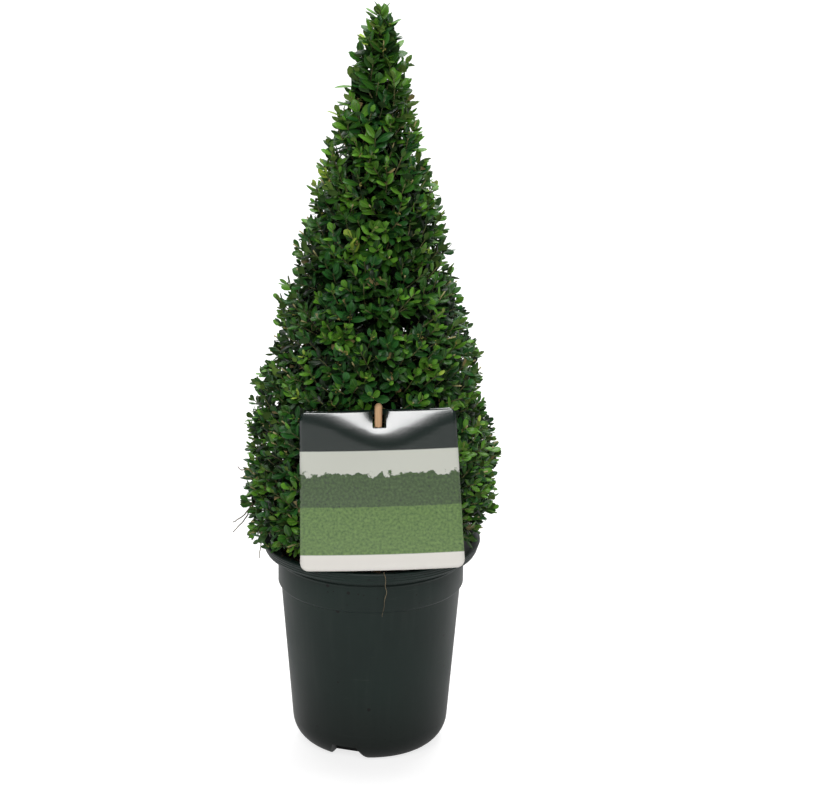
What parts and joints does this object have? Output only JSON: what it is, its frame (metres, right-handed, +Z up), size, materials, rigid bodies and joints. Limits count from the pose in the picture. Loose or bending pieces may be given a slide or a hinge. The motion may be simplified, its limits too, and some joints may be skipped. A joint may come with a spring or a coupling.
{
  "type": "boxwood cone topiary",
  "caption": "Clipped evergreen shrub in a tall cone, growing in a round nursery pot with a plain picture label on a stick.",
  "frame": {"origin": "centre of the pot's flat underside, on the surface the pot stands on", "axes": "+Z up along the plant, -Y to the front where the label is, +X to the right seen from the front"},
  "size_m": [0.2262, 0.213, 0.661],
  "materials": {
    "pot_plastic": "satin",
    "compost": "matte",
    "bark": "matte",
    "foliage": "satin",
    "label_print": "gloss",
    "stick_wood": "matte"
  },
  "bodies": {
    "root": {"pot": "pot_plastic", "soil": "compost", "stem": "bark", "lower_bough_1": "bark", "lower_bough_2": "bark", "lower_bough_3": "bark", "lower_bough_4": "bark", "lower_bough_5": "bark", "middle_bough_1": "bark", "middle_bough_2": "bark", "middle_bough_3": "bark", "middle_bough_4": "bark", "skirt_foliage_1": "foliage", "skirt_foliage_2": "foliage", "skirt_foliage_3": "foliage", "skirt_foliage_4": "foliage", "skirt_foliage_5": "foliage", "middle_foliage_1": "foliage", "middle_foliage_2": "foliage", "middle_foliage_3": "foliage", "middle_foliage_4": "foliage", "upper_foliage": "foliage", "leader_foliage": "foliage", "label_card": "label_print", "label_stick": "stick_wood"}
  },
  "joints": []
}
